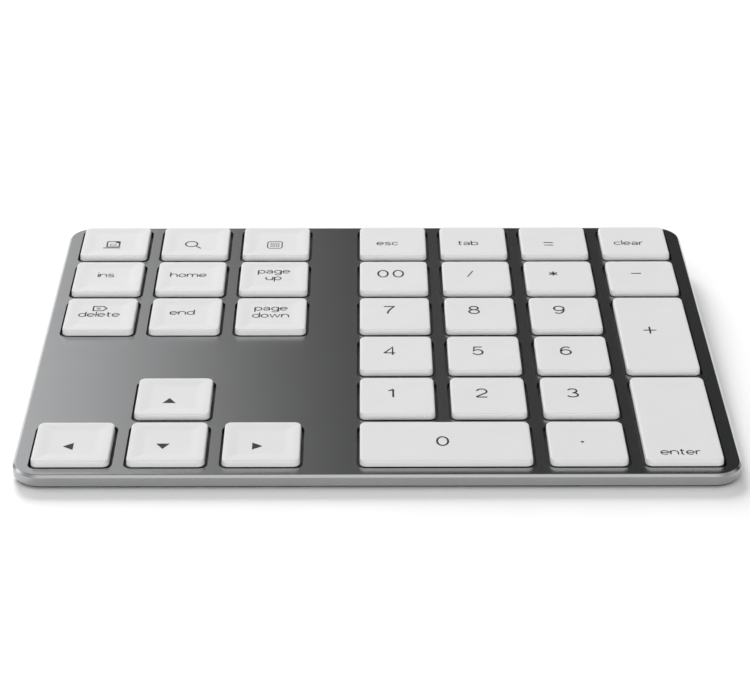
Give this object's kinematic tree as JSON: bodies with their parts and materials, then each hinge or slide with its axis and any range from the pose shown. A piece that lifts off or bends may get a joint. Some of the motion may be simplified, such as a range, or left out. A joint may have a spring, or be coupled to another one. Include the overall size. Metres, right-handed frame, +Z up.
{
  "type": "numeric keypad",
  "caption": "Slim wedge-shaped numeric keypad with an aluminium top case, a separate block of navigation keys and sprung low-profile keycaps.",
  "frame": {"origin": "centre of the footprint, on the surface that the rubber feet stand on", "axes": "+X to the user's right, +Y to the back edge, +Z up"},
  "size_m": [0.1456, 0.114, 0.0098],
  "materials": {
    "case_aluminium": "satin, bead-blasted and anodised",
    "keycap_plastic": "satin",
    "cover_plastic": "fine texture",
    "foot_rubber": "matte",
    "silicone": "matte",
    "film": "semi-gloss",
    "steel": "satin",
    "circuit_board": "solder mask",
    "black_plastic": "satin",
    "battery_foil": "laminated foil",
    "lead_insulation": "satin"
  },
  "bodies": {
    "case": {"top_case": "case_aluminium", "bottom_cover": "cover_plastic", "support_plate": "steel", "membrane": "film", "membrane_tail": "film", "dome_sheet": "silicone", "main_board": "circuit_board", "controller_chip": "black_plastic", "battery": "battery_foil", "battery_lead": "lead_insulation", "usb_c_receptacle": "steel", "power_switch_body": "black_plastic", "case_screw_1": "steel", "case_screw_2": "steel", "case_screw_3": "steel", "case_screw_4": "steel", "foot_front_left": "foot_rubber", "foot_front_right": "foot_rubber", "foot_back_left": "foot_rubber", "foot_back_right": "foot_rubber"},
    "key_display": {"key_display": "keycap_plastic"},
    "key_search": {"key_search": "keycap_plastic"},
    "key_calculator": {"key_calculator": "keycap_plastic"},
    "key_insert": {"key_insert": "keycap_plastic"},
    "key_home": {"key_home": "keycap_plastic"},
    "key_page_up": {"key_page_up": "keycap_plastic"},
    "key_delete": {"key_delete": "keycap_plastic"},
    "key_end": {"key_end": "keycap_plastic"},
    "key_page_down": {"key_page_down": "keycap_plastic"},
    "key_up": {"key_up": "keycap_plastic"},
    "key_left": {"key_left": "keycap_plastic"},
    "key_down": {"key_down": "keycap_plastic"},
    "key_right": {"key_right": "keycap_plastic"},
    "key_esc": {"key_esc": "keycap_plastic"},
    "key_tab": {"key_tab": "keycap_plastic"},
    "key_equals": {"key_equals": "keycap_plastic"},
    "key_clear": {"key_clear": "keycap_plastic"},
    "key_double_zero": {"key_double_zero": "keycap_plastic"},
    "key_divide": {"key_divide": "keycap_plastic"},
    "key_multiply": {"key_multiply": "keycap_plastic"},
    "key_minus": {"key_minus": "keycap_plastic"},
    "key_7": {"key_7": "keycap_plastic"},
    "key_8": {"key_8": "keycap_plastic"},
    "key_9": {"key_9": "keycap_plastic"},
    "key_plus": {"key_plus": "keycap_plastic"},
    "key_4": {"key_4": "keycap_plastic"},
    "key_5": {"key_5": "keycap_plastic"},
    "key_6": {"key_6": "keycap_plastic"},
    "key_1": {"key_1": "keycap_plastic"},
    "key_2": {"key_2": "keycap_plastic"},
    "key_3": {"key_3": "keycap_plastic"},
    "key_enter": {"key_enter": "keycap_plastic"},
    "key_0": {"key_0": "keycap_plastic"},
    "key_decimal": {"key_decimal": "keycap_plastic"},
    "power_switch_slider": {"power_switch_slider": "cover_plastic"},
    "stabiliser_plus": {"stabiliser_plus": "steel"},
    "stabiliser_enter": {"stabiliser_enter": "steel"},
    "stabiliser_0": {"stabiliser_0": "steel"}
  },
  "joints": [
    {"name": "key_display_press", "type": "slide", "parent": "case", "child": "key_display", "axis": [0, 0.0489, -0.9988], "range_m": [0, 0.0012], "stiffness_N_per_m": 300, "springref_m": -0.001},
    {"name": "key_search_press", "type": "slide", "parent": "case", "child": "key_search", "axis": [0, 0.0489, -0.9988], "range_m": [0, 0.0012], "stiffness_N_per_m": 300, "springref_m": -0.001},
    {"name": "key_calculator_press", "type": "slide", "parent": "case", "child": "key_calculator", "axis": [0, 0.0489, -0.9988], "range_m": [0, 0.0012], "stiffness_N_per_m": 300, "springref_m": -0.001},
    {"name": "key_insert_press", "type": "slide", "parent": "case", "child": "key_insert", "axis": [0, 0.0489, -0.9988], "range_m": [0, 0.0012], "stiffness_N_per_m": 300, "springref_m": -0.001},
    {"name": "key_home_press", "type": "slide", "parent": "case", "child": "key_home", "axis": [0, 0.0489, -0.9988], "range_m": [0, 0.0012], "stiffness_N_per_m": 300, "springref_m": -0.001},
    {"name": "key_page_up_press", "type": "slide", "parent": "case", "child": "key_page_up", "axis": [0, 0.0489, -0.9988], "range_m": [0, 0.0012], "stiffness_N_per_m": 300, "springref_m": -0.001},
    {"name": "key_delete_press", "type": "slide", "parent": "case", "child": "key_delete", "axis": [0, 0.0489, -0.9988], "range_m": [0, 0.0012], "stiffness_N_per_m": 300, "springref_m": -0.001},
    {"name": "key_end_press", "type": "slide", "parent": "case", "child": "key_end", "axis": [0, 0.0489, -0.9988], "range_m": [0, 0.0012], "stiffness_N_per_m": 300, "springref_m": -0.001},
    {"name": "key_page_down_press", "type": "slide", "parent": "case", "child": "key_page_down", "axis": [0, 0.0489, -0.9988], "range_m": [0, 0.0012], "stiffness_N_per_m": 300, "springref_m": -0.001},
    {"name": "key_up_press", "type": "slide", "parent": "case", "child": "key_up", "axis": [0, 0.0489, -0.9988], "range_m": [0, 0.0012], "stiffness_N_per_m": 300, "springref_m": -0.001},
    {"name": "key_left_press", "type": "slide", "parent": "case", "child": "key_left", "axis": [0, 0.0489, -0.9988], "range_m": [0, 0.0012], "stiffness_N_per_m": 300, "springref_m": -0.001},
    {"name": "key_down_press", "type": "slide", "parent": "case", "child": "key_down", "axis": [0, 0.0489, -0.9988], "range_m": [0, 0.0012], "stiffness_N_per_m": 300, "springref_m": -0.001},
    {"name": "key_right_press", "type": "slide", "parent": "case", "child": "key_right", "axis": [0, 0.0489, -0.9988], "range_m": [0, 0.0012], "stiffness_N_per_m": 300, "springref_m": -0.001},
    {"name": "key_esc_press", "type": "slide", "parent": "case", "child": "key_esc", "axis": [0, 0.0489, -0.9988], "range_m": [0, 0.0012], "stiffness_N_per_m": 300, "springref_m": -0.001},
    {"name": "key_tab_press", "type": "slide", "parent": "case", "child": "key_tab", "axis": [0, 0.0489, -0.9988], "range_m": [0, 0.0012], "stiffness_N_per_m": 300, "springref_m": -0.001},
    {"name": "key_equals_press", "type": "slide", "parent": "case", "child": "key_equals", "axis": [0, 0.0489, -0.9988], "range_m": [0, 0.0012], "stiffness_N_per_m": 300, "springref_m": -0.001},
    {"name": "key_clear_press", "type": "slide", "parent": "case", "child": "key_clear", "axis": [0, 0.0489, -0.9988], "range_m": [0, 0.0012], "stiffness_N_per_m": 300, "springref_m": -0.001},
    {"name": "key_double_zero_press", "type": "slide", "parent": "case", "child": "key_double_zero", "axis": [0, 0.0489, -0.9988], "range_m": [0, 0.0012], "stiffness_N_per_m": 300, "springref_m": -0.001},
    {"name": "key_divide_press", "type": "slide", "parent": "case", "child": "key_divide", "axis": [0, 0.0489, -0.9988], "range_m": [0, 0.0012], "stiffness_N_per_m": 300, "springref_m": -0.001},
    {"name": "key_multiply_press", "type": "slide", "parent": "case", "child": "key_multiply", "axis": [0, 0.0489, -0.9988], "range_m": [0, 0.0012], "stiffness_N_per_m": 300, "springref_m": -0.001},
    {"name": "key_minus_press", "type": "slide", "parent": "case", "child": "key_minus", "axis": [0, 0.0489, -0.9988], "range_m": [0, 0.0012], "stiffness_N_per_m": 300, "springref_m": -0.001},
    {"name": "key_7_press", "type": "slide", "parent": "case", "child": "key_7", "axis": [0, 0.0489, -0.9988], "range_m": [0, 0.0012], "stiffness_N_per_m": 300, "springref_m": -0.001, "deforming": ["dome_sheet"]},
    {"name": "key_8_press", "type": "slide", "parent": "case", "child": "key_8", "axis": [0, 0.0489, -0.9988], "range_m": [0, 0.0012], "stiffness_N_per_m": 300, "springref_m": -0.001},
    {"name": "key_9_press", "type": "slide", "parent": "case", "child": "key_9", "axis": [0, 0.0489, -0.9988], "range_m": [0, 0.0012], "stiffness_N_per_m": 300, "springref_m": -0.001},
    {"name": "key_plus_press", "type": "slide", "parent": "case", "child": "key_plus", "axis": [0, 0.0489, -0.9988], "range_m": [0, 0.0012], "stiffness_N_per_m": 300, "springref_m": -0.001},
    {"name": "key_4_press", "type": "slide", "parent": "case", "child": "key_4", "axis": [0, 0.0489, -0.9988], "range_m": [0, 0.0012], "stiffness_N_per_m": 300, "springref_m": -0.001},
    {"name": "key_5_press", "type": "slide", "parent": "case", "child": "key_5", "axis": [0, 0.0489, -0.9988], "range_m": [0, 0.0012], "stiffness_N_per_m": 300, "springref_m": -0.001},
    {"name": "key_6_press", "type": "slide", "parent": "case", "child": "key_6", "axis": [0, 0.0489, -0.9988], "range_m": [0, 0.0012], "stiffness_N_per_m": 300, "springref_m": -0.001},
    {"name": "key_1_press", "type": "slide", "parent": "case", "child": "key_1", "axis": [0, 0.0489, -0.9988], "range_m": [0, 0.0012], "stiffness_N_per_m": 300, "springref_m": -0.001},
    {"name": "key_2_press", "type": "slide", "parent": "case", "child": "key_2", "axis": [0, 0.0489, -0.9988], "range_m": [0, 0.0012], "stiffness_N_per_m": 300, "springref_m": -0.001},
    {"name": "key_3_press", "type": "slide", "parent": "case", "child": "key_3", "axis": [0, 0.0489, -0.9988], "range_m": [0, 0.0012], "stiffness_N_per_m": 300, "springref_m": -0.001},
    {"name": "key_enter_press", "type": "slide", "parent": "case", "child": "key_enter", "axis": [0, 0.0489, -0.9988], "range_m": [0, 0.0012], "stiffness_N_per_m": 300, "springref_m": -0.001},
    {"name": "key_0_press", "type": "slide", "parent": "case", "child": "key_0", "axis": [0, 0.0489, -0.9988], "range_m": [0, 0.0012], "stiffness_N_per_m": 300, "springref_m": -0.001},
    {"name": "key_decimal_press", "type": "slide", "parent": "case", "child": "key_decimal", "axis": [0, 0.0489, -0.9988], "range_m": [0, 0.0012], "stiffness_N_per_m": 300, "springref_m": -0.001},
    {"name": "power_switch_slide", "type": "slide", "parent": "case", "child": "power_switch_slider", "axis": [1, 0, 0], "range_m": [0, 0.002]},
    {"name": "stabiliser_plus_turn", "type": "hinge", "parent": "case", "child": "stabiliser_plus", "pos_m": [0.06625, 0.00039, 0.00481], "axis": [0, -0.9988, -0.0489], "range_deg": [0, 13.6]},
    {"name": "stabiliser_enter_turn", "type": "hinge", "parent": "case", "child": "stabiliser_enter", "pos_m": [0.06625, -0.03657, 0.003], "axis": [0, -0.9988, -0.0489], "range_deg": [0, 13.6]},
    {"name": "stabiliser_0_turn", "type": "hinge", "parent": "case", "child": "stabiliser_0", "pos_m": [0.01375, -0.0508, 0.0023], "axis": [-1, 0, 0], "range_deg": [0, 13.6]}
  ],
  "couplings": [
    {"joint": "stabiliser_plus_turn", "follows": "key_plus_press", "rad_per_m": 196.29},
    {"joint": "stabiliser_enter_turn", "follows": "key_enter_press", "rad_per_m": 196.29},
    {"joint": "stabiliser_0_turn", "follows": "key_0_press", "rad_per_m": 196.29}
  ]
}
